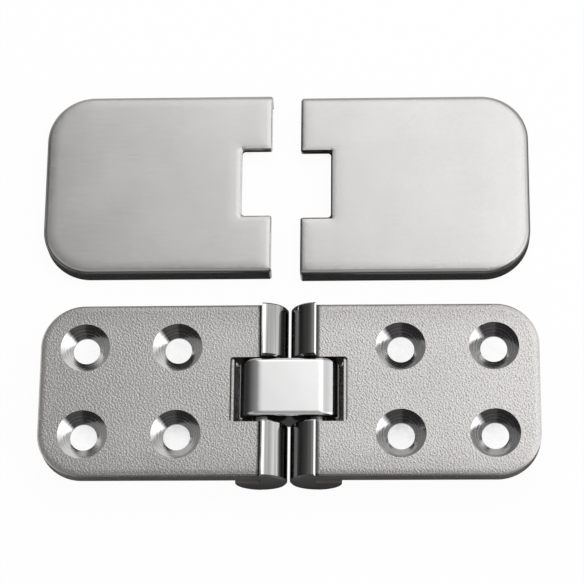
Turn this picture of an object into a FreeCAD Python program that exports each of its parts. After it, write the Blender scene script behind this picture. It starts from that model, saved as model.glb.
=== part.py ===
import FreeCAD, Part
import math
import os

# Hinge: two pivots carried by one link, leaves lying flat
leaf_length = 44.45
leaf_width = 35.65
plate_thickness = 3.7
leaf_corner_r = 8.8
plate_edge_chamfer = 0.3
back_rim = 1.8
back_hollow = 1.0
back_corner_r = 1.2

# Knuckle barrel cast along the inner end of each leaf
barrel_r = 5.3
barrel_gap = 0.5
barrel_overhang = 0.55
barrel_rim_chamfer = 0.35
barrel_back_relief = 0.25
step_inset = 0.1
step_root_r = 0.45
step_edge_chamfer = 0.35
parting_offset = 0.8

# Slot in the leaf that takes the end of the link
link_r = 4.35
link_width = 12.2
link_corner_r = 3.6
link_edge_chamfer = 0.45
link_side_play = 0.62
link_set_back = 0.4
link_end_gap = 0.95
slot_corner_r = 0.6
ledge_width = 0.87
ledge_depth = 0.8

# Pivot pins, pressed into the barrels and turning in the link
pin_r = 2.0
pin_running_gap = 0.05
pin_blind_wall = 2.0
pin_sink = 0.2
pin_chamfer = 0.3

# Countersunk screw holes, four in each leaf
screw_hole_r = 2.7
countersink_r = 5.0
hole_first = 16.8
hole_spacing_x = 18.6
hole_spacing_y = 18.1
hole_set_forward = 0.2

# Covers that fit over the leaves
cover_thickness = 1.4
cover_height = 4.4
cover_side_gap = 0.57
cover_end_gap = 1.75
cover_step_gap = 0.5
cover_corner_r = 9.8
cover_bend_r = 1.0
cover_cut_chamfer = 0.3
notch_side_gap = 0.63
notch_end_gap = 0.5
notch_corner_r = 0.7
notch_mouth_r = 0.4

# How the loose covers lie beside the open hinge
left_cover_overhang = 1.35
right_cover_inset = 0.97
left_cover_spacing = 8.8
right_cover_spacing = 8.28

# Values that follow from those above
pivot_spacing = 2 * barrel_r + barrel_gap
axis_z = barrel_r
plate_top = axis_z + plate_thickness
leaf_half = leaf_width / 2
barrel_front = -(leaf_half + barrel_overhang)
slot_half = link_width / 2 + link_side_play
slot_x = link_r + link_end_gap
ledge_x = slot_x + ledge_width
past = leaf_length + leaf_width
pin_front = barrel_front + pin_blind_wall
pin_back = leaf_half - pin_sink
countersink_depth = countersink_r - screw_hole_r
cover_width = leaf_width + 2 * (cover_side_gap + cover_thickness)
cover_length = leaf_length + step_inset - cover_step_gap + cover_end_gap + cover_thickness
notch_half = slot_half + notch_side_gap
notch_depth = ledge_x + notch_end_gap + step_inset - cover_step_gap
half_length = leaf_length + pivot_spacing / 2
hinge_x = left_cover_overhang / 2
hinge_y = -(left_cover_spacing + cover_width - barrel_overhang) / 2
left_cover_x = hinge_x - half_length - left_cover_overhang + cover_length
right_cover_x = hinge_x + half_length - right_cover_inset - cover_length
left_cover_y = hinge_y + leaf_half + left_cover_spacing + cover_width / 2
right_cover_y = hinge_y + leaf_half + right_cover_spacing + cover_width / 2

TOLERANCE = 1e-6


def vec(x, y, z):
    """Point or direction in millimetres."""
    return FreeCAD.Vector(x, y, z)


def block(x0, x1, y0, y1, z0, z1):
    """Rectangular block between the given limits."""
    return Part.makeBox(x1 - x0, y1 - y0, z1 - z0, vec(x0, y0, z0))


def rod(radius, y0, y1, x=0):
    """Round bar along Y at pivot height."""
    return Part.makeCylinder(radius, y1 - y0, vec(x, y0, axis_z), vec(0, 1, 0))


def near(a, b):
    """True when two lengths agree."""
    return abs(a - b) < TOLERANCE


def upright_edges(shape, x, half_y):
    """Vertical edges of a shape that stand at the given x and at plus or minus half_y."""
    return [
        edge
        for edge in shape.Edges
        if near(edge.BoundBox.XMin, x)
        and near(edge.BoundBox.XMax, x)
        and near(abs(edge.BoundBox.YMin), half_y)
        and near(edge.BoundBox.YLength, 0)
    ]


def tongue(x0, x1, half_y, corner_r, z0, z1):
    """Flat slab with its two corners at x1 rounded."""
    cx = x1 - corner_r
    cy = half_y - corner_r
    bulge = corner_r * math.sqrt(0.5)
    front_start = vec(cx, -half_y, z0)
    front_end = vec(x1, -cy, z0)
    back_start = vec(x1, cy, z0)
    back_end = vec(cx, half_y, z0)
    edges = [
        Part.makeLine(vec(x0, -half_y, z0), front_start),
        Part.Arc(front_start, vec(cx + bulge, -cy - bulge, z0), front_end).toShape(),
        Part.makeLine(front_end, back_start),
        Part.Arc(back_start, vec(cx + bulge, cy + bulge, z0), back_end).toShape(),
        Part.makeLine(back_end, vec(x0, half_y, z0)),
        Part.makeLine(vec(x0, half_y, z0), vec(x0, -half_y, z0)),
    ]
    return Part.Face(Part.Wire(edges)).extrude(vec(0, 0, z1 - z0))


def top_outline(slab, x_open):
    """Edges round the top of a tongue, without the straight end at x_open."""
    top = slab.BoundBox.ZMax
    return [
        edge
        for edge in slab.Edges
        if near(edge.BoundBox.ZMin, top) and not near(edge.BoundBox.XMax, x_open)
    ]


def end_edges(shape):
    """Edges that lie in the end planes of a shape drawn along Y."""
    return [edge for edge in shape.Edges if near(edge.BoundBox.YLength, 0)]


def step_edge(y0, y1):
    """Cutter for the bevel along the upper edge of the step."""
    top = axis_z + barrel_r
    reach = 2 * step_edge_chamfer
    outer_x = step_edge_chamfer - step_inset
    inner = vec(outer_x - reach, y0, top)
    outer = vec(outer_x, y0, top)
    lower = vec(outer_x, y0, top - reach)
    return Part.Face(Part.makePolygon([inner, outer, lower, inner])).extrude(vec(0, y1 - y0, 0))


def knuckle(y0, y1):
    """One length of barrel: polished inner side full size, hidden lower outer side relieved."""
    full = rod(barrel_r, y0, y1)
    full = full.makeChamfer(barrel_rim_chamfer, end_edges(full))
    full = full.cut(block(-step_inset, past, y0, y1, axis_z, past))
    full = full.cut(block(parting_offset, past, y0, y1, -past, axis_z))
    full = full.cut(step_edge(y0, y1))
    lower = rod(barrel_r - barrel_back_relief, y0, y1)
    lower = lower.common(block(0, past, y0, y1, -past, axis_z))
    return full.fuse(lower)


def link_slot():
    """Cutter for the slot behind the link end, with a shallow wider ledge at the top."""
    deep = block(-past, slot_x, -slot_half, slot_half, -past, past)
    ledge = block(-past, ledge_x, -slot_half, slot_half, plate_top - ledge_depth, past)
    ledge = ledge.makeFillet(slot_corner_r, upright_edges(ledge, ledge_x, slot_half))
    return deep.fuse(ledge)


def step_root():
    """Concave fillet where the plate meets the step up to the barrel."""
    reach = leaf_half - plate_edge_chamfer
    length = 2 * reach
    strip = block(-step_inset, step_root_r - step_inset, -reach, reach, plate_top, plate_top + step_root_r)
    hollow_at = vec(step_root_r - step_inset, -reach, plate_top + step_root_r)
    return strip.cut(Part.makeCylinder(step_root_r, length, hollow_at, vec(0, 1, 0)))


def hollow():
    """Cutter for the hollow back of the plate, which leaves a rim all round."""
    x0 = ledge_x + back_rim
    half_y = leaf_half - back_rim
    room = tongue(x0, leaf_length - back_rim, half_y, leaf_corner_r - back_rim, 0, axis_z + back_hollow)
    return room.makeFillet(back_corner_r, upright_edges(room, x0, half_y))


def screw_hole(x, y):
    """Cutter for one countersunk screw hole."""
    shank = Part.makeCylinder(screw_hole_r, past, vec(x, y, 0))
    seat_z = plate_top - countersink_depth
    seat = Part.makeCone(screw_hole_r, countersink_r, countersink_depth, vec(x, y, seat_z))
    return shank.fuse(seat)


def leaf():
    """Cast leaf with its pivot at x = 0 and its plate running out along +X."""
    plate = tongue(-step_inset, leaf_length, leaf_half, leaf_corner_r, axis_z, plate_top)
    plate = plate.makeChamfer(plate_edge_chamfer, top_outline(plate, -step_inset))
    plate = plate.fuse(step_root())
    plate = plate.cut([link_slot(), hollow()])
    body = plate.fuse([knuckle(slot_half, leaf_half), knuckle(barrel_front, -slot_half)])
    body = body.cut(rod(pin_r, pin_front, past))
    for x in (hole_first, hole_first + hole_spacing_x):
        for y in (-hole_spacing_y / 2, hole_spacing_y / 2):
            body = body.cut(screw_hole(x, y - hole_set_forward))
    return body.removeSplitter()


def pin():
    """Pivot pin on its own axis."""
    bar = rod(pin_r, pin_front, pin_back)
    return bar.makeChamfer(pin_chamfer, end_edges(bar))


def link():
    """Polished link: a bar with well rounded ends, bored for both pins."""
    reach = pivot_spacing / 2
    half_x = reach + link_r
    y0 = link_set_back - link_width / 2
    y1 = link_set_back + link_width / 2
    bar = block(-half_x, half_x, y0, y1, axis_z - link_r, axis_z + link_r)
    bar = bar.makeFillet(link_corner_r, [edge for edge in bar.Edges if edge.BoundBox.YLength > TOLERANCE])
    bar = bar.makeChamfer(link_edge_chamfer, end_edges(bar))
    for x in (-reach, reach):
        bar = bar.cut(rod(pin_r + pin_running_gap, -past, past, x))
    return bar


def cover():
    """Cover shell lying face up, with its notched open end at x = 0."""
    shell = tongue(0, cover_length, cover_width / 2, cover_corner_r, 0, cover_height)
    shell = shell.makeFillet(cover_bend_r, top_outline(shell, 0))
    inner_x = cover_length - cover_thickness
    inner_half = cover_width / 2 - cover_thickness
    inner_corner = cover_corner_r - cover_thickness
    inner_top = cover_height - cover_thickness
    shell = shell.cut(tongue(-past, inner_x, inner_half, inner_corner, -past, inner_top))
    notch = block(-past, notch_depth, -notch_half, notch_half, -past, past)
    shell = shell.cut(notch.makeFillet(notch_corner_r, upright_edges(notch, notch_depth, notch_half)))
    shell = shell.makeFillet(notch_mouth_r, upright_edges(shell, 0, notch_half))
    cut_edges = [
        edge
        for edge in shell.Edges
        if near(edge.BoundBox.ZMin, cover_height) and edge.BoundBox.XMax < notch_depth + TOLERANCE
    ]
    return shell.makeChamfer(cover_cut_chamfer, cut_edges)


def placed(shape, x, y, mirrored=False):
    """Copy of a shape moved to its place, turned to the left-hand form when asked."""
    hand = shape.mirror(vec(0, 0, 0), vec(1, 0, 0)) if mirrored else shape.copy()
    hand.translate(vec(x, y, 0))
    return hand


left_pivot_x = hinge_x - pivot_spacing / 2
right_pivot_x = hinge_x + pivot_spacing / 2

nodes = {
    "left_leaf": placed(leaf(), left_pivot_x, hinge_y, True),
    "right_leaf": placed(leaf(), right_pivot_x, hinge_y),
    "left_pin": placed(pin(), left_pivot_x, hinge_y),
    "right_pin": placed(pin(), right_pivot_x, hinge_y),
    "link": placed(link(), hinge_x, hinge_y),
    "left_cover": placed(cover(), left_cover_x, left_cover_y, True),
    "right_cover": placed(cover(), right_cover_x, right_cover_y),
}

os.makedirs("parts", exist_ok=True)
for name, shape in nodes.items():
    shape.exportStep("parts/" + name + ".step")
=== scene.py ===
import logging
import math
from dataclasses import dataclass
from enum import Enum
from typing import Any, Callable, ClassVar, List, Mapping, Optional, Sequence, Tuple, Union

import bmesh
import bpy
import numpy as np
from mathutils import Matrix, Vector, noise
from mathutils.geometry import delaunay_2d_cdt


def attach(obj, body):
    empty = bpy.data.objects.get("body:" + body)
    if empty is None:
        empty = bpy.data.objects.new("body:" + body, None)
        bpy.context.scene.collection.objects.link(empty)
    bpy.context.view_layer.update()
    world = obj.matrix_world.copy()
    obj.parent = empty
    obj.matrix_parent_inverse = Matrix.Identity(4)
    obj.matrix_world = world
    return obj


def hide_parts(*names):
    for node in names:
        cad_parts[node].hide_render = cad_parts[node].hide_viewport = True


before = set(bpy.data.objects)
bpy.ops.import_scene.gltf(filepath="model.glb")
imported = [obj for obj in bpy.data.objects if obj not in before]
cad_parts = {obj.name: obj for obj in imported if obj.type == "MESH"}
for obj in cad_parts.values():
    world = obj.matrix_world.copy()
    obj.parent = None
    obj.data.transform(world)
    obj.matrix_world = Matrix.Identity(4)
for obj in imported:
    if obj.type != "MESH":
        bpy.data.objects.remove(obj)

LOG = logging.getLogger("folding_hinge")
MM = 0.001
WHITE = (1.0, 1.0, 1.0, 1.0)
WELD = 1e-7
SLIVER = 2e-5
LEVEL = 1e-3
FLAT = 0.999
CREASE = math.radians(30.0)

Colour = Tuple[float, float, float, float]
Ramp = Tuple[float, float]
Triple = Tuple[float, float, float]
SocketKey = Union[str, int]
Relief = Callable[[np.ndarray, np.ndarray], np.ndarray]
Mesh = bmesh.types.BMesh
Face = bmesh.types.BMFace


class Hand(Enum):
    """Which end of the hinge a piece belongs to, with the sign of its X direction."""

    LEFT = -1
    RIGHT = 1

    def node(self, piece: str) -> str:
        """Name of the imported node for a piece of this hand."""
        return f"{self.name.lower()}_{piece}"


class LeafZone(Enum):
    """Zones of a cast leaf that are finished in different ways."""

    GRAIN = 0
    BARREL = 1
    BARREL_END = 2
    SEAT = 3
    SKIN = 4
    SLOT = 5
    LEDGE = 6


class Expr:
    """A node's output that takes part in Python arithmetic."""

    def __init__(self, graph: "ShaderGraph", socket: bpy.types.NodeSocket) -> None:
        """Keep the tree and the output socket."""
        self.graph = graph
        self.socket = socket

    def of(self, output: SocketKey) -> "Expr":
        """Another output of the same node."""
        return Expr(self.graph, self.socket.node.outputs[output])

    def maths(self, operation: str, first: Any, second: Any = 0.0) -> "Expr":
        """Add one Math node.

        Args:
            operation: Blender's name of the operation.
            first: left operand, a number or an expression.
            second: right operand, a number or an expression.

        Returns:
            The node's value.
        """
        return self.graph.node("ShaderNodeMath", {"operation": operation}, {0: first, 1: second})

    def __add__(self, other: Any) -> "Expr":
        """Sum."""
        return self.maths("ADD", self, other)

    def __radd__(self, other: Any) -> "Expr":
        """Sum with a number on the left."""
        return self.maths("ADD", other, self)

    def __sub__(self, other: Any) -> "Expr":
        """Difference."""
        return self.maths("SUBTRACT", self, other)

    def __rsub__(self, other: Any) -> "Expr":
        """Difference from a number on the left."""
        return self.maths("SUBTRACT", other, self)

    def __mul__(self, other: Any) -> "Expr":
        """Product."""
        return self.maths("MULTIPLY", self, other)

    def __rmul__(self, other: Any) -> "Expr":
        """Product with a number on the left."""
        return self.maths("MULTIPLY", other, self)

    def __pow__(self, other: Any) -> "Expr":
        """Power."""
        return self.maths("POWER", self, other)

    def __rpow__(self, other: Any) -> "Expr":
        """Power of a number on the left."""
        return self.maths("POWER", other, self)

    def __abs__(self) -> "Expr":
        """Size without sign."""
        return self.maths("ABSOLUTE", self)

    def larger(self, other: Any) -> "Expr":
        """The larger of two values."""
        return self.maths("MAXIMUM", self, other)

    def swing(self, amount: float) -> "Expr":
        """Noise from 0 to 1 turned into a swing about nothing, of the given size."""
        return amount * (self - 0.5)

    def ease(self, start: float, end: float) -> "Expr":
        """Smooth step from 0 at start to 1 at end.

        Args:
            start: value where the step begins.
            end: value where the step is complete.

        Returns:
            The step's value, from 0 to 1.
        """
        limits = {"From Min": start, "From Max": end, "To Min": 0.0, "To Max": 1.0}
        return self.graph.node(
            "ShaderNodeMapRange", {"interpolation_type": "SMOOTHSTEP"}, {"Value": self, **limits}
        )


Surface = Tuple[Expr, Expr, Expr]


class ShaderGraph:
    """Adds nodes to one node tree and links them."""

    def __init__(self, tree: bpy.types.NodeTree) -> None:
        """Start from an empty tree."""
        self.tree = tree
        self.tree.nodes.clear()

    def node(
        self,
        kind: str,
        settings: Optional[Mapping[str, Any]] = None,
        sockets: Optional[Mapping[SocketKey, Any]] = None,
        output: SocketKey = 0,
    ) -> Expr:
        """Add a node, set it up and fill its sockets.

        Args:
            kind: Blender's type of the node.
            settings: the node's own options, which are set first.
            sockets: value or link for each input.
            output: the output that is handed back.

        Returns:
            The chosen output.
        """
        made = self.tree.nodes.new(kind)
        for name, value in (settings or {}).items():
            setattr(made, name, value)
        for key, value in (sockets or {}).items():
            if isinstance(value, Expr):
                self.tree.links.new(value.socket, made.inputs[key])
            else:
                made.inputs[key].default_value = value
        return Expr(self, made.outputs[output])

    def close(self, kind: str, shader: Expr) -> None:
        """Link a shader to the tree's output node."""
        made = self.tree.nodes.new(kind)
        self.tree.links.new(shader.socket, made.inputs["Surface"])

    def place(self) -> Expr:
        """Point in the piece's own frame, in metres."""
        return self.node("ShaderNodeTexCoord", output="Object")

    def spread(self) -> Tuple[Expr, Expr, Expr]:
        """X, Y and Z of the point in the piece's own frame."""
        x = self.node("ShaderNodeSeparateXYZ", None, {"Vector": self.place()})
        return x, x.of("Y"), x.of("Z")

    def stretched(self, scale: Sequence[float]) -> Expr:
        """Object coordinates scaled by axis, in repeats per metre."""
        sockets = {"Vector": self.place(), "Scale": tuple(scale)}
        return self.node("ShaderNodeMapping", {"vector_type": "POINT"}, sockets)

    def lengthwise(self, pitch: float, length: float) -> Expr:
        """Object coordinates for marks that run along Y, by their pitch and length in metres."""
        return self.stretched((1.0 / pitch, 1.0 / length, 1.0 / pitch))

    def grain(self, vector: Expr, detail: float, weight: float = 0.5) -> Expr:
        """Noise from 0 to 1.

        Args:
            vector: where the noise is read, one unit for each repeat.
            detail: number of finer layers.
            weight: weight of the finer layers.

        Returns:
            The noise value.
        """
        sockets = {"Vector": vector, "Scale": 1.0, "Detail": detail, "Roughness": weight}
        return self.node("ShaderNodeTexNoise", {"noise_dimensions": "3D"}, sockets)

    def mottle(self, pitch: float, detail: float, weight: float = 0.5) -> Expr:
        """Noise that is even in all directions, with spots of the given pitch in metres."""
        return self.grain(self.stretched((1.0 / pitch,) * 3), detail, weight)

    def tint(self, factor: Expr, dark: Union[Colour, Expr], light: Union[Colour, Expr]) -> Expr:
        """Colour between dark and light.

        Args:
            factor: 0 for dark and 1 for light.
            dark: first colour, plain or mixed before.
            light: second colour, plain or mixed before.

        Returns:
            The mixed colour.
        """
        sockets = {0: factor, 6: dark, 7: light}
        return self.node("ShaderNodeMix", {"data_type": "RGBA"}, sockets, output=2)

    def scaled(self, colour: Expr, factor: Expr) -> Expr:
        """A colour made lighter or darker by a factor."""
        sockets = {0: colour, "Scale": factor}
        return self.node("ShaderNodeVectorMath", {"operation": "SCALE"}, sockets)

    def relief(self, height: Expr, depth: float) -> Expr:
        """Surface normal with fine relief, from a height of 0 to 1 and its depth in metres."""
        sockets = {"Strength": 1.0, "Distance": depth, "Height": height}
        return self.node("ShaderNodeBump", None, sockets)


def grey(level: float, warmth: float = 0.0) -> Colour:
    """Neutral metal colour, a little warm where asked.

    Args:
        level: reflectance.
        warmth: share by which red rises and blue falls.

    Returns:
        The colour.
    """
    return (level * (1.0 + warmth), level, level * (1.0 - warmth), 1.0)


class Finish:
    """Base of every metal finish: makes one Principled material."""

    name: str
    metallic: ClassVar[float] = 1.0

    def material(self) -> bpy.types.Material:
        """Make the finish's material, once.

        Returns:
            The material.
        """
        known = bpy.data.materials.get(self.name)
        if known is not None:
            return known
        made = bpy.data.materials.new(self.name)
        made.use_nodes = True
        graph = ShaderGraph(made.node_tree)
        colour, roughness, normal = self.surface(graph)
        sockets = {
            "Base Color": colour,
            "Metallic": self.metallic,
            "Roughness": roughness,
            "Normal": normal,
        }
        shader = graph.node("ShaderNodeBsdfPrincipled", None, sockets)
        graph.close("ShaderNodeOutputMaterial", shader)
        return made

    def surface(self, graph: ShaderGraph) -> Surface:
        """Work out the finish over the surface.

        Args:
            graph: the material's nodes.

        Returns:
            Colour, roughness and normal.
        """
        raise NotImplementedError


@dataclass(frozen=True)
class CastGrain(Finish):
    """Pebbled skin of the leaf's face, nickel plated over the casting grain."""

    metallic: ClassVar[float] = 0.82
    name: str = "cast_grain"
    hand: Hand = Hand.LEFT
    pivot_x: float = 0.0
    hollow: Colour = grey(0.39, 0.035)
    crest: Colour = grey(0.755, 0.02)
    root_shade_colour: Colour = grey(0.06, 0.02)
    level: float = 0.52
    height_share: float = 0.45
    patch_share: float = 0.4
    pit_share: float = 1.1
    edge_shade_share: float = 0.26
    roughness: float = 0.27
    patch_rough: float = 0.10
    height_polish: float = 0.04
    fine_pitch: float = 0.17 * MM
    fine_depth: float = 0.014 * MM
    patch_pitch: float = 9.0 * MM
    middle_y: float = -23.92 * MM
    edge: Ramp = (11.0 * MM, 18.0 * MM)
    root: Ramp = (0.2 * MM, 0.9 * MM)
    outward: Ramp = (22.0 * MM, 44.0 * MM)
    painted_side_light: float = 0.04
    painted_side_light_out: float = 0.07

    def surface(self, graph: ShaderGraph) -> Surface:
        """Crests brighter than hollows, with soft patches and finer pits, and painted light and
        shade.

        Args:
            graph: the material's nodes.

        Returns:
            Colour, roughness and normal.
        """
        height = graph.node("ShaderNodeAttribute", {"attribute_name": "grain"}, output="Fac")
        patch = graph.mottle(self.patch_pitch, 3.0, 0.6)
        pits = graph.mottle(self.fine_pitch, 2.0, 0.6)
        x, y, _ = graph.spread()
        # painted shade: the face darkens towards its front and back edges
        painted_light_mask = abs(y - self.middle_y).ease(*self.edge)
        share = self.level + self.height_share * height + patch.swing(self.patch_share)
        share = share + pits.swing(self.pit_share) - self.edge_shade_share * painted_light_mask
        out = self.hand.value * (x - self.pivot_x)
        # painted light and shade: the left leaf's colour is scaled down and the right leaf's up,
        # more so towards their outer ends
        painted_side_light = self.painted_side_light + self.painted_side_light_out * out.ease(*self.outward)
        cast = graph.tint(share, self.hollow, self.crest)
        cast = graph.scaled(cast, 1.0 + self.hand.value * painted_side_light)
        # painted shade: close to the barrel's step the face turns near black, where shade falls in
        # the root
        colour = graph.tint(1.0 - out.ease(*self.root), cast, self.root_shade_colour)
        roughness = self.roughness + patch.swing(self.patch_rough) - self.height_polish * height
        return colour, roughness, graph.relief(pits, self.fine_depth)


@dataclass(frozen=True)
class PolishedBarrel(Finish):
    """Buffed barrel, with faint flats along its length."""

    name: str = "polished_barrel"
    pivot_x: float = 0.0
    dark: Colour = grey(0.24, 0.01)
    light: Colour = grey(0.56, 0.006)
    bright: Colour = grey(0.88, 0.004)
    flat_share: float = 2.2
    line_share: float = 0.5
    slit_shade_share: float = 0.45
    roughness: float = 0.12
    line_rough: float = 0.08
    band: Ramp = (0.7 * MM, 1.1 * MM)
    far: Ramp = (2.4 * MM, 4.2 * MM)
    flat_pitch: float = 0.8 * MM
    flat_length: float = 60.0 * MM
    flat_depth: float = 0.010 * MM
    line_pitch: float = 0.8 / 9.0 * MM
    line_length: float = 30.0 * MM

    def surface(self, graph: ShaderGraph) -> Surface:
        """Lengthwise buffing flats and fine lines, with a painted highlight beside the step and
        painted shade towards the slit.

        Args:
            graph: the material's nodes.

        Returns:
            Colour, roughness and normal.
        """
        flats = graph.grain(graph.lengthwise(self.flat_pitch, self.flat_length), 1.0)
        lines = graph.grain(graph.lengthwise(self.line_pitch, self.line_length), 2.0)
        from_axis = graph.spread()[0] - self.pivot_x
        share = 0.5 + flats.swing(self.flat_share) + lines.swing(self.line_share)
        # painted shade: the barrel darkens to the right of its axis, which on the left barrel is
        # towards the slit
        share = share - self.slit_shade_share * from_axis.ease(*self.far)
        # painted highlight: the colour turns bright along the barrel's top beside the step
        painted_light_mask = 1.0 - abs(from_axis).ease(*self.band)
        colour = graph.tint(painted_light_mask, graph.tint(share, self.dark, self.light), self.bright)
        roughness = self.roughness + lines.swing(self.line_rough)
        return colour, roughness, graph.relief(flats, self.flat_depth)


@dataclass(frozen=True)
class TurnedSeat(Finish):
    """Countersink cut by a tool, with rings round each hole."""

    name: str = "turned_seat"
    middle_x: float = 0.0
    middle_y: float = 0.0
    half_x: float = 0.0
    half_y: float = 0.0
    dark: Colour = grey(0.44, 0.004)
    light: Colour = grey(0.92, 0.004)
    roughness: float = 0.12
    ring_rough: float = 0.16
    smear_rough: float = 0.08
    smear_pitch: float = 1.0 / 900.0
    ring_pitch: float = 0.26 * MM
    ring_depth: float = 0.003 * MM

    def surface(self, graph: ShaderGraph) -> Surface:
        """Tool rings by distance from the nearest hole's axis.

        Args:
            graph: the material's nodes.

        Returns:
            Colour, roughness and normal.
        """
        x, y, _ = graph.spread()
        from_x = abs(abs(x - self.middle_x) - self.half_x)
        from_y = abs(abs(y - self.middle_y) - self.half_y)
        turns = (from_x * from_x + from_y * from_y) ** 0.5 * (1.0 / self.ring_pitch)
        sockets = {"W": turns, "Scale": 1.0, "Detail": 2.0, "Roughness": 0.6}
        rings = graph.node("ShaderNodeTexNoise", {"noise_dimensions": "1D"}, sockets)
        smear = graph.mottle(self.smear_pitch, 2.0)
        roughness = self.roughness + rings.swing(self.ring_rough) + smear.swing(self.smear_rough)
        colour = graph.tint(rings, self.dark, self.light)
        return colour, roughness, graph.relief(rings, self.ring_depth)


@dataclass(frozen=True)
class SkinAndPaintedShade(Finish):
    """Unpolished casting skin on side walls and back; with darker colours it also carries painted
    shade on the barrel ends and in the slot.
    """

    metallic: ClassVar[float] = 0.92
    name: str = "cast_skin"
    dark: Colour = grey(0.22, 0.06)
    light: Colour = grey(0.36, 0.05)
    roughness: float = 0.34
    patch_rough: float = 0.16
    pitch: float = 0.5 * MM
    depth: float = 0.012 * MM
    patch_pitch: float = 6.0 * MM

    def surface(self, graph: ShaderGraph) -> Surface:
        """Even fine pebbling with darker patches.

        Args:
            graph: the material's nodes.

        Returns:
            Colour, roughness and normal.
        """
        pebble = graph.mottle(self.pitch, 3.0, 0.55)
        patch = graph.mottle(self.patch_pitch, 2.0)
        roughness = self.roughness + patch.swing(self.patch_rough)
        colour = graph.tint(patch, self.dark, self.light)
        return colour, roughness, graph.relief(pebble, self.depth)


@dataclass(frozen=True)
class LedgeLine(Finish):
    """Ledge in the leaf's slot, patchy metal along its middle with painted shade along both
    borders.
    """

    name: str = "ledge_line"
    pivot_x: float = 0.0
    dark: Colour = grey(0.06, 0.03)
    light: Colour = grey(0.72, 0.02)
    roughness: float = 0.26
    pebble_rough: float = 0.10
    inner: Ramp = (5.36 * MM, 5.55 * MM)
    outer: Ramp = (5.72 * MM, 6.06 * MM)
    least: float = 0.4
    patchy: float = 1.2
    pitch: float = 0.35 * MM
    depth: float = 0.02 * MM

    def surface(self, graph: ShaderGraph) -> Surface:
        """A bright uneven line between borders of painted shade.

        Args:
            graph: the material's nodes.

        Returns:
            Colour, roughness and normal.
        """
        out = abs(graph.spread()[0] - self.pivot_x)
        pebble = graph.mottle(self.pitch, 2.0, 0.6)
        # painted shade: the ledge turns near black along its inner and outer borders
        line = (out.ease(*self.inner) - out.ease(*self.outer)) * (self.least + self.patchy * pebble)
        roughness = self.roughness + pebble.swing(self.pebble_rough)
        colour = graph.tint(line, self.dark, self.light)
        return colour, roughness, graph.relief(pebble, self.depth)


@dataclass(frozen=True)
class MirrorPolish(Finish):
    """Bright polish of the link, slightly wavy, with hairline wipe marks."""

    name: str = "mirror_polish"
    dark: Colour = grey(0.96, 0.002)
    light: Colour = grey(0.985, 0.001)
    left_end_shade: Colour = grey(0.90, 0.002)
    right_end_shade: Colour = grey(0.60, 0.002)
    sides: Colour = grey(0.30, 0.01)
    roughness: float = 0.16
    wipe_rough: float = 0.05
    wipe_scale: Triple = (120.0, 7000.0, 7000.0)
    middle_x: float = 0.675 * MM
    left_ramp: Ramp = (5.6 * MM, 6.3 * MM)
    right_ramp: Ramp = (6.6 * MM, 7.1 * MM)
    middle_y: float = -23.52 * MM
    side_ramp: Ramp = (5.95 * MM, 6.1 * MM)
    wave_pitch: float = 7.0 * MM
    wave_depth: float = 0.008 * MM

    def surface(self, graph: ShaderGraph) -> Surface:
        """Broad waves in the polish and fine lines along the link, with painted shade towards its
        ends and on its front and back faces.

        Args:
            graph: the material's nodes.

        Returns:
            Colour, roughness and normal.
        """
        wave = graph.mottle(self.wave_pitch, 1.0)
        wipe = graph.grain(graph.stretched(self.wipe_scale), 2.0)
        x, y, _ = graph.spread()
        out = x - self.middle_x
        colour = graph.tint(wipe, self.dark, self.light)
        # painted shade: darker towards the left and right ends, and on the front and back faces
        colour = graph.tint((0.0 - out).ease(*self.left_ramp), colour, self.left_end_shade)
        colour = graph.tint(out.ease(*self.right_ramp), colour, self.right_end_shade)
        colour = graph.tint(abs(y - self.middle_y).ease(*self.side_ramp), colour, self.sides)
        roughness = self.roughness + wipe.swing(self.wipe_rough)
        return colour, roughness, graph.relief(wave, self.wave_depth)


@dataclass(frozen=True)
class CutEdge:
    """Painted light on a cover's cut edge: a factor on its colour that paints a highlight above 1
    and a shade below 1, added roughness, and reach in millimetres.
    """

    shade: float
    fade: float
    notch_half: float
    rough: float = 0.0


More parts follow.
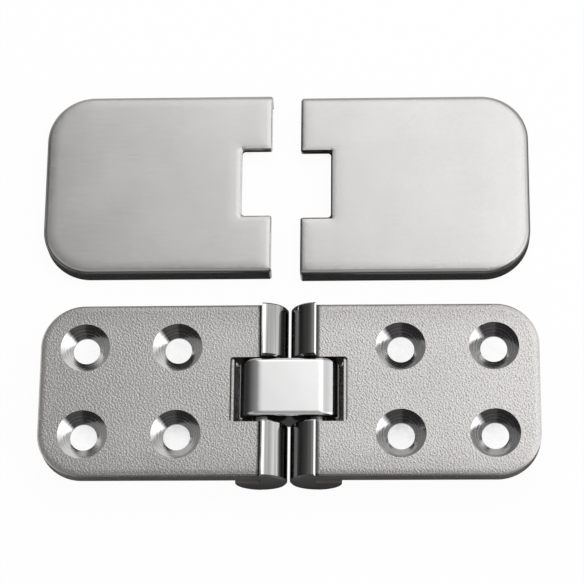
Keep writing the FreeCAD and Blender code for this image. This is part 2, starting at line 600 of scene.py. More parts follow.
@dataclass(frozen=True)
class SatinBrush(Finish):
    """Satin nickel of the covers, brushed along their length."""

    metallic: ClassVar[float] = 0.82
    name: str
    hand: Hand
    open_x: float
    middle_y: float
    cut_edge: CutEdge
    dark: Colour = grey(0.505, 0.018)
    light: Colour = grey(0.69, 0.012)
    brush_share: float = 0.5
    cloud_share: float = 0.7
    speck_share: float = 0.4
    roughness: float = 0.20
    brush_rough: float = 0.10
    cloud_rough: float = 0.06
    line_pitch: float = 0.13 * MM
    line_length: float = 5.0 * MM
    line_depth: float = 0.0003 * MM
    cloud_pitch: float = 14.0 * MM
    speck_pitch: float = 0.45 * MM
    bend: Ramp = (3.92 * MM, 4.25 * MM)
    bend_shade: float = 0.30
    notch_end: Ramp = (6.5 * MM, 6.65 * MM)
    notch_blur: float = 0.1
    cut_side: Ramp = (18.9 * MM, 19.2 * MM)

    def surface(self, graph: ShaderGraph) -> Surface:
        """Short fine brush lines and a faint mottle under soft clouds, with painted shade on the
        bends and flanges and painted light on the cut edge.

        Args:
            graph: the material's nodes.

        Returns:
            Colour, roughness and normal.
        """
        across = 1.0 / self.line_pitch
        lines = graph.stretched((1.0 / self.line_length, across, across))
        brush = graph.grain(lines, 3.0, 0.6)
        cloud = graph.mottle(self.cloud_pitch, 3.0, 0.55)
        speck = graph.mottle(self.speck_pitch, 2.0, 0.6)
        share = 0.5 + brush.swing(self.brush_share) + cloud.swing(self.cloud_share)
        share = share + speck.swing(self.speck_share)
        x, y, z = graph.spread()
        cut = self.cut_mask(self.hand.value * (x - self.open_x), abs(y - self.middle_y))
        # painted shade: the bends and flanges below the flat face are darkened
        bent = self.bend_shade + (1.0 - self.bend_shade) * z.ease(*self.bend)
        # painted light on the cut edge: there the colour is scaled by the CutEdge's factor instead
        shade = bent + cut * (self.cut_edge.shade - bent)
        roughness = self.roughness + brush.swing(self.brush_rough) + cloud.swing(self.cloud_rough)
        roughness = roughness + self.cut_edge.rough * cut
        colour = graph.scaled(graph.tint(share, self.dark, self.light), shade)
        return colour, roughness, graph.relief(brush, self.line_depth)

    def cut_mask(self, along: Expr, aside: Expr) -> Expr:
        """Where the cut edge runs, along the open end and round the notch.

        Args:
            along: distance from the open end.
            aside: distance from the middle line.

        Returns:
            1 on the cut edge and 0 away from it.
        """
        half, blur = self.cut_edge.notch_half, self.notch_blur
        notch_side = ((half - blur) * MM, (half + blur) * MM)
        notch = (1.0 - along.ease(*self.notch_end)) * (1.0 - aside.ease(*notch_side))
        cut = (1.0 - along.ease(0.0, self.cut_edge.fade * MM)).larger(notch)
        return cut * (1.0 - aside.ease(*self.cut_side))


@dataclass(frozen=True)
class GroundSteel(Finish):
    """Centreless-ground steel of the pivot pins."""

    name: str = "ground_steel"
    dark: Colour = grey(0.46)
    light: Colour = grey(0.58)
    roughness: float = 0.24
    line_rough: float = 0.12
    line_scale: Triple = (300.0, 9000.0, 300.0)
    line_depth: float = 0.002 * MM

    def surface(self, graph: ShaderGraph) -> Surface:
        """Grinding lines round the pin.

        Args:
            graph: the material's nodes.

        Returns:
            Colour, roughness and normal.
        """
        lines = graph.grain(graph.stretched(self.line_scale), 2.0)
        roughness = self.roughness + lines.swing(self.line_rough)
        colour = graph.tint(lines, self.dark, self.light)
        return colour, roughness, graph.relief(lines, self.line_depth)


def inside(points: np.ndarray, segments: np.ndarray) -> np.ndarray:
    """Which points lie inside the closed loops that the segments make.

    Args:
        points: N points in the plane.
        segments: M pairs of points.

    Returns:
        N truth values.
    """
    found = np.zeros(len(points), bool)
    x, y = points.T
    for (x0, y0), (x1, y1) in segments:
        crosses = (y0 > y) != (y1 > y)
        if y0 != y1:
            found ^= crosses & (x < (x1 - x0) * (y - y0) / (y1 - y0) + x0)
    return found


def distance(points: np.ndarray, segments: np.ndarray) -> np.ndarray:
    """Distance of each point from the nearest segment.

    Args:
        points: N points in the plane.
        segments: M pairs of points.

    Returns:
        N distances.
    """
    nearest = np.full(len(points), np.inf)
    for start, end in segments:
        run = end - start
        share = np.clip(((points - start) @ run) / (run @ run), 0.0, 1.0)
        gap = points - start - share[:, None] * run
        nearest = np.minimum(nearest, np.hypot(gap[:, 0], gap[:, 1]))
    return nearest


@dataclass(frozen=True)
class FineFace:
    """A flat face cut into fine triangles so that it can carry relief. Sizes in millimetres."""

    spacing: float
    jitter: float = 0.12
    clear: float = 0.6
    seed: int = 7

    def points(self, segments: np.ndarray) -> np.ndarray:
        """Staggered points inside an outline.

        Args:
            segments: the outline, as pairs of points.

        Returns:
            The points that keep clear of the outline.
        """
        rng = np.random.default_rng(self.seed)
        low = segments.min((0, 1))
        high = segments.max((0, 1))
        rise = self.spacing * math.sqrt(0.75)
        rows = np.arange(low[1], high[1], rise)
        columns = np.arange(low[0], high[0], self.spacing)
        x, y = np.meshgrid(columns, rows)
        x = x + 0.5 * self.spacing * (np.arange(len(rows)) % 2)[:, None]
        grid = np.stack((x.ravel(), y.ravel()), 1)
        grid = grid + self.jitter * self.spacing * rng.uniform(-1.0, 1.0, grid.shape)
        grid = grid[inside(grid, segments)]
        return grid[distance(grid, segments) > self.clear * self.spacing]

    def refill(self, body: Mesh, faces: List[Face], relief: Relief) -> List[Face]:
        """Replace flat faces by fine triangles.

        Args:
            body: the mesh.
            faces: flat faces, all at one height.
            relief: height in millimetres from the points and their distance to the outline.

        Returns:
            The new faces.
        """
        layer = body.verts.layers.float.get("grain") or body.verts.layers.float.new("grain")
        chosen = set(faces)
        rim = [e for f in faces for e in f.edges if sum(g in chosen for g in e.link_faces) == 1]
        corners = list(dict.fromkeys(v for e in rim for v in e.verts))
        number = {v: i for i, v in enumerate(corners)}
        height = corners[0].co.z
        pairs = [(number[e.verts[0]], number[e.verts[1]]) for e in rim]
        outline = np.array([v.co.xy for v in corners]) / MM
        segments = outline[np.array(pairs)]
        bmesh.ops.delete(body, geom=faces, context="FACES")
        grid = self.points(segments)
        lift = relief(grid, distance(grid, segments))
        scale = np.abs(lift).max() or 1.0
        for (x, y), z in zip(grid, lift):
            vert = body.verts.new((x * MM, y * MM, height + z * MM))
            vert[layer] = z / scale
            corners.append(vert)
        flat = [Vector(p) for p in np.concatenate((outline, grid))]
        places, _, triangles, origins, _, _ = delaunay_2d_cdt(flat, pairs, [], 1, WELD)
        spots = np.array([tuple(p) for p in places])
        kept = inside(spots[np.array(triangles)].mean(1), segments)
        return [
            body.faces.new([corners[origins[i][0]] for i in triangle])
            for triangle, keep in zip(triangles, kept)
            if keep
        ]


@dataclass(frozen=True)
class Tongue:
    """Outline of a leaf or a cover, with two rounded corners. Sizes in millimetres."""

    hand: Hand
    start_x: float
    middle_y: float
    length: float
    half_width: float
    corner_r: float

    def local(self, place: Vector) -> Tuple[float, float]:
        """Distances of a point, given in metres, from the straight end and from the middle line."""
        return self.hand.value * (place.x / MM - self.start_x), abs(place.y / MM - self.middle_y)

    def depth(self, place: Vector) -> float:
        """How far a point lies inside the far end, the long sides and the corners.

        Args:
            place: the point, in metres.

        Returns:
            The distance in millimetres.
        """
        along, across = self.local(place)
        past_x = along - (self.length - self.corner_r)
        past_y = across - (self.half_width - self.corner_r)
        if past_x > 0.0 and past_y > 0.0:
            return self.corner_r - math.hypot(past_x, past_y)
        return min(self.length - along, self.half_width - across)


def rolled(depth: float, reach: float, drop: float) -> float:
    """Drop of a face that rolls off towards an edge.

    Args:
        depth: distance from the edge.
        reach: distance at which the roll begins.
        drop: drop at the edge itself.

    Returns:
        The drop, in the unit of the drop.
    """
    return drop * max(0.0, 1.0 - depth / reach) ** 2


def no_relief(points: np.ndarray, edge: np.ndarray) -> np.ndarray:
    """A face without relief."""
    return np.zeros(len(points))


def level(face: Face, height: float) -> bool:
    """True when all of a face looks up and lies at the given height, in millimetres."""
    return face.normal.z > FLAT and all(abs(v.co.z / MM - height) < LEVEL for v in face.verts)


def joined(body: Mesh, faces: List[Face]) -> List[Face]:
    """The faces made into one."""
    return bmesh.ops.dissolve_faces(body, faces=faces)["region"] if len(faces) > 1 else faces


def sliced(body: Mesh, spacing: float, whole: Face) -> None:
    """Cut a mesh into short lengths along X and Y, so that its bends shade evenly.

    Args:
        body: the mesh.
        spacing: length of the cuts, in millimetres.
        whole: a face that is left in one piece.
    """
    for way in (Vector((1.0, 0.0, 0.0)), Vector((0.0, 1.0, 0.0))):
        reach = [v.co.dot(way) for v in body.verts]
        low, high = min(reach), max(reach)
        count = int((high - low) / (spacing * MM))
        for step in range(1, count):
            parts = [*body.verts, *body.edges, *(f for f in body.faces if f != whole)]
            place = way * (low + (high - low) * step / count)
            bmesh.ops.bisect_plane(body, geom=parts, dist=SLIVER, plane_co=place, plane_no=way)
    body.normal_update()


def crease(body: Mesh) -> None:
    """Keep real corners sharp.

    Args:
        body: the mesh, whose edges are marked.
    """
    body.normal_update()
    for edge in body.edges:
        edge.smooth = edge.calc_face_angle(0.0) < CREASE


class Piece:
    """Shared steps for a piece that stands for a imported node."""

    def __init__(self, node: str, body: str, slot: str) -> None:
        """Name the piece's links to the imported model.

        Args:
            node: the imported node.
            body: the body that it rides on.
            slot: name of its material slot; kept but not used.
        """
        self.node = node
        self.body = body
        self.slot = slot

    def copied(self) -> Mesh:
        """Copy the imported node's mesh and join its split corners.

        Returns:
            The mesh.
        """
        body = bmesh.new()
        body.from_mesh(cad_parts[self.node].data)
        bmesh.ops.remove_doubles(body, verts=body.verts, dist=WELD)
        return body

    def shown(self, body: Mesh, finishes: Sequence[Finish]) -> bpy.types.Object:
        """Turn the mesh into a piece that replaces its node.

        Args:
            body: the finished mesh, which is freed.
            finishes: one finish for each material index.

        Returns:
            The new object.
        """
        body.normal_update()
        for face in body.faces:
            face.smooth = True
        mesh = bpy.data.meshes.new(f"{self.node}_dressed")
        body.to_mesh(mesh)
        body.free()
        for finish in finishes:
            mesh.materials.append(finish.material())
        piece = bpy.data.objects.new(f"{self.node}_dressed", mesh)
        bpy.context.scene.collection.objects.link(piece)
        weighted = piece.modifiers.new("even_shading", "WEIGHTED_NORMAL")
        weighted.keep_sharp = True
        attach(piece, self.body)
        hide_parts(self.node)
        LOG.info("%s: %d faces", piece.name, len(mesh.polygons))
        return piece


@dataclass
class Leaf:
    """Cast leaf with its barrel. Sizes in millimetres."""

    hand: Hand
    pivot_x: float
    axis_z: float = 5.3
    plate_top: float = 9.0
    barrel_r: float = 5.3
    barrel_ends: Tuple[float, float] = (-42.295, -6.095)
    hole_first: float = 16.8
    hole_spacing_x: float = 18.6
    hole_spacing_y: float = 18.1
    hole_middle_y: float = -24.12
    countersink_r: float = 5.0
    slot: Triple = (6.22, -23.92, 6.77)
    grain_spacing: float = 0.13
    grain_pitch: float = 0.26
    grain_depth: float = 0.031
    grain_run: float = 1.25
    grain_turn: float = math.radians(-45.0)
    grain_fade: float = 0.15
    grain_layers: Tuple[float, float] = (3.0, 9.0)
    fine_step: float = 2.1
    fine_share: float = 0.5
    edge_chamfer: float = 0.3
    roll_start: float = 0.6
    roll_reach: float = 1.4
    roll_drop: float = 0.17
    rim_depth: float = 0.4
    length: float = 44.45
    half_width: float = 17.825
    corner_r: float = 8.8
    end_reach: float = 0.4
    step_x: float = 0.3
    slot_drop: float = 0.02
    facing: float = 0.6
    upward: float = 0.9
    sloping: float = 0.5

    def outline(self) -> Tongue:
        """Outline of the leaf's plate."""
        sizes = self.length, self.half_width, self.corner_r
        return Tongue(self.hand, self.pivot_x, self.slot[1], *sizes)

    def holes(self) -> Tuple[float, float]:
        """Middle of the four screw holes."""
        out = self.hole_first + self.hole_spacing_x / 2.0
        return self.pivot_x + self.hand.value * out, self.hole_middle_y

    def build(self) -> bpy.types.Object:
        """Make the leaf with a pebbled face and zones for its finishes.

        Returns:
            The dressed leaf.
        """
        piece = Piece(self.hand.node("leaf"), self.hand.node("leaf"), "cast_leaf")
        body = piece.copied()
        top = [f for f in body.faces if level(f, self.plate_top)]
        face_up = FineFace(self.grain_spacing).refill(body, top, self.pebbles)
        self.roll(body)
        body.normal_update()
        for face in body.faces:
            face.material_index = self.zone(face).value
        for face in face_up:
            face.material_index = LeafZone.GRAIN.value
        crease(body)
        self.mark_seats(body)
        return piece.shown(body, self.finishes())

    def roll(self, body: Mesh) -> None:
        """Let the plate's face fall away a little along its outer edges.

        Args:
            body: the leaf's mesh.
        """
        outline = self.outline()
        for vert in body.verts:
            from_top = abs(vert.co.z / MM - self.plate_top)
            on_plate = outline.local(vert.co)[0] > self.roll_start
            if on_plate and from_top < self.edge_chamfer + LEVEL:
                vert.co.z -= rolled(outline.depth(vert.co), self.roll_reach, self.roll_drop) * MM

    def pebbles(self, points: np.ndarray, edge: np.ndarray) -> np.ndarray:
        """Casting grain: two layers of noise, drawn out a little along one diagonal.

        Args:
            points: places on the face.
            edge: distance of each from the outline.

        Returns:
            Heights, fading to nothing at the outline.
        """
        cos, sin = math.cos(self.grain_turn), math.sin(self.grain_turn)
        along = (points[:, 0] * cos + points[:, 1] * sin) / (self.grain_pitch * self.grain_run)
        across = (points[:, 1] * cos - points[:, 0] * sin) / self.grain_pitch
        step, (coarse, fine) = self.fine_step, self.grain_layers
        raw = [
            noise.noise((a, b, coarse * self.hand.value))
            + self.fine_share * noise.noise((step * a, step * b, fine))
            for a, b in zip(along, across)
        ]
        fade = np.clip(edge / self.grain_fade, 0.0, 1.0)
        return self.grain_depth * np.array(raw) * fade

    def zone(self, face: Face) -> LeafZone:
        """Which zone a face belongs to.

        Args:
            face: a face of the leaf.

        Returns:
            The zone.
        """
        middle = face.calc_center_median() / MM
        normal = face.normal
        from_x, from_z = middle.x - self.pivot_x, middle.z - self.axis_z
        radius = math.hypot(from_x, from_z)
        at_end = min(abs(middle.y - end) for end in self.barrel_ends) < self.end_reach
        if at_end and abs(normal.y) > self.facing and radius < self.barrel_r:
            return LeafZone.BARREL_END
        inner_side = from_z < 0.0 or self.hand.value * from_x < self.step_x
        if inner_side and abs(radius - self.barrel_r) < self.end_reach:
            if (normal.x * from_x + normal.z * from_z) / radius > self.facing:
                return LeafZone.BARREL
        slot_x, slot_y, slot_half = self.slot
        if self.hand.value * from_x < slot_x and abs(middle.y - slot_y) < slot_half:
            if middle.z < self.plate_top - self.slot_drop:
                return LeafZone.LEDGE if normal.z > self.upward else LeafZone.SLOT
        hole_x, hole_y = self.holes()
        gap_x = abs(abs(middle.x - hole_x) - self.hole_spacing_x / 2.0)
        gap_y = abs(abs(middle.y - hole_y) - self.hole_spacing_y / 2.0)
        in_hole = math.hypot(gap_x, gap_y) < self.countersink_r
        if in_hole and abs(normal.z) < self.upward:
            return LeafZone.SEAT
        if normal.z > self.sloping and middle.z > self.plate_top - self.rim_depth:
            return LeafZone.GRAIN
        return LeafZone.SKIN

    def mark_seats(self, body: Mesh) -> None:
        """Keep the rims of the countersinks sharp.

        Args:
            body: the leaf's mesh, with its zones set.
        """
        for edge in body.edges:
            zones = {f.material_index for f in edge.link_faces}
            if LeafZone.SEAT.value in zones and len(zones) > 1:
                edge.smooth = False

    def finishes(self) -> List[Finish]:
        """Choose the leaf's finishes.

        Returns:
            One finish for each zone, in the order of the zones.
        """
        side = self.hand.name.lower()
        hole_x, hole_y = self.holes()
        seat = TurnedSeat(
            name=f"turned_seat_{side}",
            middle_x=hole_x * MM,
            middle_y=hole_y * MM,
            half_x=self.hole_spacing_x / 2.0 * MM,
            half_y=self.hole_spacing_y / 2.0 * MM,
        )
        grain = CastGrain(f"cast_grain_{side}", self.hand, self.pivot_x * MM)
        barrel = PolishedBarrel(f"polished_barrel_{side}", self.pivot_x * MM)
        # the barrel's end faces: cast skin, darkened further as painted shade
        ends = SkinAndPaintedShade("barrel_end", grey(0.14, 0.01), grey(0.19, 0.01), 0.48)
        # painted shade: the slot's walls are near black, standing for the shade in the recess
        slot = SkinAndPaintedShade("slot_painted_shade", grey(0.04, 0.02), grey(0.08, 0.02), 0.50)
        ledge = LedgeLine(f"ledge_line_{side}", self.pivot_x * MM)
        return [grain, barrel, ends, seat, SkinAndPaintedShade(), slot, ledge]


@dataclass
class Cover:
    """Satin cover, its face very slightly crowned. Sizes in millimetres."""

    hand: Hand
    open_x: float
    middle_y: float
    cut_edge: CutEdge
    length: float = 47.2
    half_width: float = 19.795
    corner_r: float = 9.8
    height: float = 4.4
    bend_r: float = 1.0
    notch: Tuple[float, float] = (6.27, 7.35)
    cut_chamfer: float = 0.3
    cut_lip: float = 0.2
    slice_length: float = 0.8
    spacing: float = 0.4
    clear: float = 1.2
    roll_reach: float = 2.8
    roll_drop: float = 0.11
    crown_reach: float = 11.0
    crown_drop: float = 0.06
    cut_reach: float = 3.2
    cut_drop: float = 0.04
    lip_reach: float = 0.6
    lip_drop: float = 0.12

    def build(self) -> bpy.types.Object:
        """Make the cover with its face cut fine enough to be crowned.

        Returns:
            The dressed cover.
        """
        piece = Piece(self.hand.node("cover"), "left_leaf", "satin_cover")
        body = piece.copied()
        whole = joined(body, [f for f in body.faces if level(f, self.height)])
        sliced(body, self.slice_length, whole[0])
        FineFace(self.spacing, clear=self.clear).refill(body, whole, no_relief)
        for vert in body.verts:
            below = self.height - vert.co.z / MM
            if abs(below - self.cut_chamfer) < LEVEL and self.cut(vert.co) < LEVEL:
                vert.co.z += (self.cut_chamfer - self.cut_lip) * MM
            if below < self.bend_r + LEVEL:
                vert.co.z -= self.drop(vert.co) * MM
        crease(body)
        return piece.shown(body, [self.finish()])

    def finish(self) -> SatinBrush:
        """The cover's own satin finish."""
        name = f"satin_brush_{self.hand.name.lower()}"
        return SatinBrush(name, self.hand, self.open_x * MM, self.middle_y * MM, self.cut_edge)

    def drop(self, place: Vector) -> float:
        """How far the face falls away towards its bent and cut edges.

        Args:
            place: a point of the face, in metres.

        Returns:
            The drop in millimetres.
        """
        edge, cut = self.outline().depth(place), self.cut(place)
        falls = (
            (edge, self.roll_reach, self.roll_drop),
            (edge, self.crown_reach, self.crown_drop),
            (cut, self.cut_reach, self.cut_drop),
            (cut, self.lip_reach, self.lip_drop),
        )
        return sum(rolled(*fall) for fall in falls)

    def outline(self) -> Tongue:
        """Outline of the cover."""
        sizes = self.length, self.half_width, self.corner_r
        return Tongue(self.hand, self.open_x, self.middle_y, *sizes)

    def cut(self, place: Vector) -> float:
        """Distance of a point from the cut edge, along the open end and round the notch.

        Args:
            place: a point of the face, in metres.

        Returns:
            The distance in millimetres.
        """
        along, across = self.outline().local(place)
        notch_depth, notch_half = self.notch
        cut = math.hypot(max(0.0, along - notch_depth), max(0.0, across - notch_half))
        return max(0.0, min(cut, along) if across > notch_half else cut)


@dataclass
class Linkage:
    """Polished link, its rims rounded over, and the two pins. Sizes in millimetres."""

    link: str = "link"
    pins: Tuple[str, str] = ("left_pin", "right_pin")
    rim_angle: float = math.radians(45.0)
    rim_slack: float = 0.1
    rim_offset: float = 0.31
    rim_steps: int = 3
    flat_angle: float = math.radians(0.5)
    slice_length: float = 1.0
    spacing: float = 0.4
    axis_z: float = 5.3
    end_r: float = 4.35
    blend_start: float = -4.65
    blend_reach: float = 1.3
    blend_drop: float = 0.042

    def build(self) -> bpy.types.Object:
        """Make the link with its chamfered rims rounded and its ends shaded evenly into its flats.

        Returns:
            The dressed link.
        """
        piece = Piece(self.link, self.link, "polished_link")
        body = piece.copied()
        self.round_rims(body)
        high = max(v.co.z for v in body.verts) / MM
        whole = joined(body, [f for f in body.faces if level(f, high)])
        sliced(body, self.slice_length, whole[0])
        FineFace(self.spacing).refill(body, whole, no_relief)
        for vert in body.verts:
            vert.co.z -= self.blend(vert.co) * MM
        crease(body)
        return piece.shown(body, [MirrorPolish()])

    def round_rims(self, body: Mesh) -> None:
        """Round the link's chamfers over.

        Args:
            body: the link's mesh.
        """
        bmesh.ops.dissolve_limit(
            body, angle_limit=self.flat_angle, verts=body.verts, edges=body.edges
        )
        turns = {e: abs(e.calc_face_angle(0.0) - self.rim_angle) for e in body.edges}
        bmesh.ops.bevel(
            body,
            geom=[e for e, turn in turns.items() if turn < self.rim_slack],
            offset=self.rim_offset * MM,
            segments=self.rim_steps,
            profile=0.5,
            affect="EDGES",
        )

    def blend(self, place: Vector) -> float:
        """How far the upper side falls away where the flat runs into the left end.

        Args:
            place: a point of the link, in metres.

        Returns:
            The drop in millimetres.
        """
        past = max(0.0, self.blend_start - place.x / MM) / self.blend_reach
        drop = past**2 if past < 1.0 else 2.0 * past - 1.0
        up = (place.z / MM - self.axis_z) / self.end_r
        return self.blend_drop * drop * max(0.0, up)

    def dress(self) -> None:
        """Give the pins their finish."""
        for name in self.pins:
            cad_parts[name].material_slots[0].material = GroundSteel().material()
            LOG.info("%s: ground steel", name)


@dataclass(frozen=True)
class FloorZones:
    """Places of the floor that get painted shadow and painted light from the hinge, in metres, and
    openness from 0 to 1.
    """

    middle_x: float = 0.675 * MM
    knuckle_y: float = -22.5 * MM
    shaded_y: float = -24.5 * MM
    gap_x: float = -0.485 * MM
    aside: Ramp = (12.0 * MM, 14.0 * MM)
    knuckle: Ramp = (6.0 * MM, 7.0 * MM)
    shaded: Ramp = (8.0 * MM, 9.0 * MM)
    slit: Ramp = (0.7 * MM, 1.0 * MM)
    leaf_end: Ramp = (46.0 * MM, 49.0 * MM)
    leaf_front: Ramp = (-42.0 * MM, -40.0 * MM)
    leaf_back: Ramp = (-8.0 * MM, -6.0 * MM)
    gap: Ramp = (3.1 * MM, 3.4 * MM)
    gap_front: Ramp = (0.0, 1.0 * MM)
    back: Ramp = (-3.0 * MM, -1.0 * MM)
    touching: Ramp = (0.0, 0.02)
    bare: Ramp = (0.2, 0.4)
    open: Ramp = (0.82, 0.98)
    front_dark: float = 0.90
    back_dark: float = 0.05
    under_painted_light: float = 0.45
    gap_painted_light: float = 0.94

    def mirrored_dark(self, x: Expr, y: Expr, openness: Expr) -> Expr:
        """How dark the metal mirrors the floor: painted shadow beside the object, pale in the open,
        with painted light under the leaves and between the covers' open ends.

        Args:
            x: place along the hinge.
            y: place across the hinge.
            openness: how free the floor is of things above it.

        Returns:
            0 for white and 1 for black.
        """
        from_x = abs(x - self.middle_x)
        under = from_x.ease(*self.aside) - from_x.ease(*self.leaf_end)
        under = under * (y.ease(*self.leaf_front) - y.ease(*self.leaf_back))
        between = (1.0 - abs(x - self.gap_x).ease(*self.gap)) * y.ease(*self.gap_front)
        near = self.front_dark + self.back_dark * y.ease(*self.back)
        # painted light on the floor that the metal mirrors, under the leaves and between the
        # covers' open ends
        lift = self.under_painted_light * under + self.gap_painted_light * between
        return (near - lift) * (1.0 - openness.ease(*self.open))


@dataclass(frozen=True)
class SoftSurround:
    """Soft light by direction: the strength of each part and where it rises."""

    base: float = 0.025
    overhead: float = 1.40
    overhead_slant: float = 0.6
    overhead_turn: float = 0.31
    overhead_x: Ramp = (-0.20, 0.13)
    overhead_y: Ramp = (-0.55, -0.30)
    tail: float = 0.20
    tail_x: Ramp = (-1.0, -0.25)
    tail_y: Ramp = (-0.6, 0.15)
    side: float = 0.7
    side_x: Ramp = (0.70, 0.85)
    side_slant: Ramp = (0.35, 1.0)
    falling: float = 0.6
    falling_x: Ramp = (0.08, 0.42)
    falling_y: Ramp = (-0.3, 0.2)
    front: float = 0.05
    front_x: Ramp = (-0.2, 0.05)
    front_y: Ramp = (-0.8, -0.5)
    dome: float = 0.38
    dome_z: Ramp = (0.34, 0.55)
    dome_left: Ramp = (0.3, 0.6)
    dome_back: Ramp = (0.05, 0.25)
    dome_front: Ramp = (0.1, 0.4)
    behind: float = 0.26
    behind_share: float = 0.82
    behind_y: Ramp = (0.42, 0.78)

    def level(self, x: Expr, y: Expr, z: Expr) -> Expr:
        """Strength of the light from one direction.

        Args:
            x: the direction's part along the hinge.
            y: its part away from the camera.
            z: its part upward.

        Returns:
            The strength.
        """
        slanted = x + self.overhead_slant * (y - self.overhead_turn)
        overhead = slanted.ease(*self.overhead_x) * y.ease(*self.overhead_y)
        tail = x.ease(*self.tail_x) * y.ease(*self.tail_y)
        side = x.ease(*self.side_x) * (x - y).ease(*self.side_slant)
        falling = x.ease(*self.falling_x) * y.ease(*self.falling_y)
        front = x.ease(*self.front_x) * (1.0 - y.ease(*self.front_y))
        left = (0.0 - x).ease(*self.dome_left) * (1.0 - y.ease(*self.dome_back))
        dome = z.ease(*self.dome_z) * left.larger((0.0 - y).ease(*self.dome_front))
        ahead = self.base + self.overhead * overhead + self.tail * tail + self.side * side
        ahead = ahead + self.front * front + self.dome * dome - self.falling * falling
        behind = self.behind_share * y.ease(*self.behind_y)
        return ahead * (1.0 - behind) + self.behind * behind


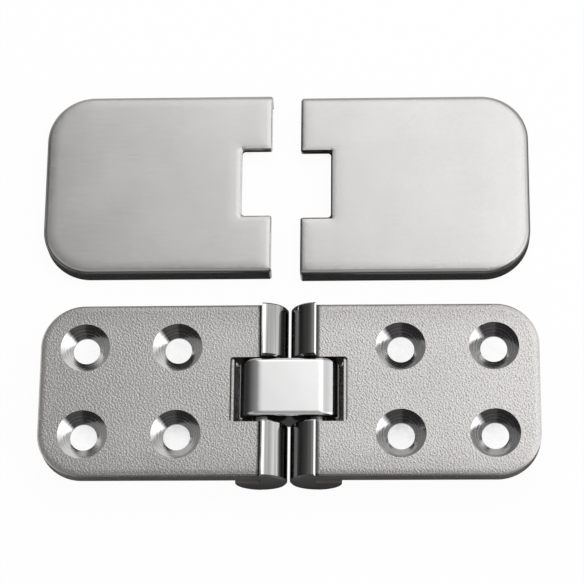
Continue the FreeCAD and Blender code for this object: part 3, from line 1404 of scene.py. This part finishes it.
@dataclass
class Studio:
    """Floor, soft surround, fill lamp and camera. Lengths in metres."""

    zones: FloorZones = FloorZones()
    light: SoftSurround = SoftSurround()
    floor_half: float = 4.0
    floor_colour: Colour = (0.88, 0.88, 0.88, 1.0)
    painted_shadow_colour: Colour = (0.03, 0.03, 0.03, 1.0)
    floor_white: float = 0.96
    open_reach: float = 0.05
    open_samples: int = 8
    fill_place: Triple = (0.12, 0.25, 0.70)
    fill_size: float = 0.5
    fill_power: float = 2.2
    aim: Triple = (0.000985, -0.0021, 0.0053)
    reach: float = 0.5
    nearest: float = 0.01
    tilt: float = math.radians(19.948)
    yaw: float = math.radians(2.705)
    roll: float = math.radians(0.571)
    lens: float = 151.55

    def build(self) -> None:
        """Set up everything round the object."""
        bpy.context.scene.view_settings.view_transform = "Standard"
        self.floor()
        self.surround()
        self.fill()
        self.camera()

    def floor(self) -> None:
        """Lay the pale floor."""
        half = self.floor_half
        corners = [(-half, -half, 0), (half, -half, 0), (half, half, 0), (-half, half, 0)]
        mesh = bpy.data.meshes.new("floor")
        mesh.from_pydata(corners, [], [(0, 1, 2, 3)])
        mesh.materials.append(self.pale())
        floor = bpy.data.objects.new("floor", mesh)
        bpy.context.scene.collection.objects.link(floor)

    def pale(self) -> bpy.types.Material:
        """Make the floor's material: white to the camera, with the object's shadow kept, a painted
        shadow under the knuckle, painted light in the slit between the barrels, and painted shadow
        and light where the metal mirrors it.

        Returns:
            The material.
        """
        made = bpy.data.materials.new("pale_floor")
        made.use_nodes = True
        graph = ShaderGraph(made.node_tree)
        zones = self.zones
        camera = graph.node("ShaderNodeLightPath", output="Is Camera Ray")
        mirrored = camera.of("Is Glossy Ray").larger(camera.of("Is Transmission Ray"))
        settings, sockets = {"samples": self.open_samples}, {"Distance": self.open_reach}
        openness = graph.node("ShaderNodeAmbientOcclusion", settings, sockets, output="AO")
        x, y, _ = graph.spread()
        from_x = abs(x - zones.middle_x)
        aside = from_x.ease(*zones.aside).larger(openness.ease(*zones.bare))
        clear = aside.larger(abs(y - zones.knuckle_y).ease(*zones.knuckle))
        # painted shadow: under the knuckle the floor's own colour turns near black
        painted_shadow = 1.0 - aside.larger(abs(y - zones.shaded_y).ease(*zones.shaded))
        slit = 1.0 - from_x.ease(*zones.slit)
        # the white lift is withheld under the knuckle, a painted shadow, and given along the slit
        # between the barrels however shaded the floor there is, a painted light
        lifted = self.floor_white * camera * (openness.ease(*zones.touching).larger(slit) * clear)
        shade = 1.0 - mirrored * zones.mirrored_dark(x, y, openness)
        colour = graph.tint(painted_shadow, self.floor_colour, self.painted_shadow_colour)
        matt = graph.node("ShaderNodeBsdfDiffuse", None, {"Color": colour})
        glow = graph.node("ShaderNodeEmission", None, {"Color": shade, "Strength": 1.0})
        sockets = {0: lifted.larger(mirrored), 1: matt, 2: glow}
        mixed = graph.node("ShaderNodeMixShader", None, sockets)
        graph.close("ShaderNodeOutputMaterial", mixed)
        return made

    def surround(self) -> None:
        """Hang the soft light round the object, white where the camera sees it."""
        world = bpy.data.worlds.new("soft_surround")
        world.use_nodes = True
        bpy.context.scene.world = world
        graph = ShaderGraph(world.node_tree)
        way = graph.node("ShaderNodeTexCoord", output="Generated")
        x = graph.node("ShaderNodeSeparateXYZ", None, {"Vector": way})
        level = self.light.level(x, x.of("Y"), x.of("Z"))
        seen = graph.node("ShaderNodeLightPath", output="Is Camera Ray")
        sockets = {"Color": WHITE, "Strength": level + seen * (1.0 - level)}
        graph.close("ShaderNodeOutputWorld", graph.node("ShaderNodeBackground", None, sockets))

    def fill(self) -> None:
        """Soft lamp that lights matt surfaces and casts the object's shadow."""
        lamp = bpy.data.lights.new("fill", "AREA")
        lamp.size = self.fill_size
        lamp.energy = self.fill_power
        made = bpy.data.objects.new("fill", lamp)
        made.location = self.fill_place
        made.rotation_euler = (-Vector(self.fill_place)).to_track_quat("-Z", "Y").to_euler()
        made.visible_glossy = False
        bpy.context.scene.collection.objects.link(made)

    def camera(self) -> None:
        """Camera at the photograph's viewing angle."""
        flat = math.cos(self.yaw)
        back = Vector((math.sin(self.yaw), -math.sin(self.tilt) * flat, math.cos(self.tilt) * flat))
        right = Vector((0.0, 1.0, 0.0)).cross(back).normalized()
        up = back.cross(right)
        cos, sin = math.cos(self.roll), math.sin(self.roll)
        across, upward = cos * right + sin * up, cos * up - sin * right
        turn = Matrix((across, upward, back)).transposed().to_4x4()
        lens = bpy.data.cameras.new("camera")
        lens.lens = self.lens
        lens.clip_start = self.nearest
        camera = bpy.data.objects.new("camera", lens)
        camera.matrix_world = Matrix.Translation(Vector(self.aim) + self.reach * back) @ turn
        bpy.context.scene.collection.objects.link(camera)
        bpy.context.scene.camera = camera


def main() -> None:
    """Build the pieces in order."""
    logging.basicConfig(level=logging.INFO, format="%(name)s %(message)s")
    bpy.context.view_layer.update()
    Studio().build()
    Leaf(Hand.LEFT, -4.875).build()
    Leaf(Hand.RIGHT, 6.225).build()
    # the left cover's cut edge gets a painted highlight and the right cover's a painted shade
    Cover(Hand.LEFT, -3.475, 22.5, CutEdge(1.4, 0.3, 7.0, 0.5)).build()
    Cover(Hand.RIGHT, 2.505, 21.98, CutEdge(0.08, 0.8, 7.7)).build()
    linkage = Linkage()
    linkage.build()
    linkage.dress()
    bpy.context.view_layer.update()


if __name__ == "__main__":
    main()
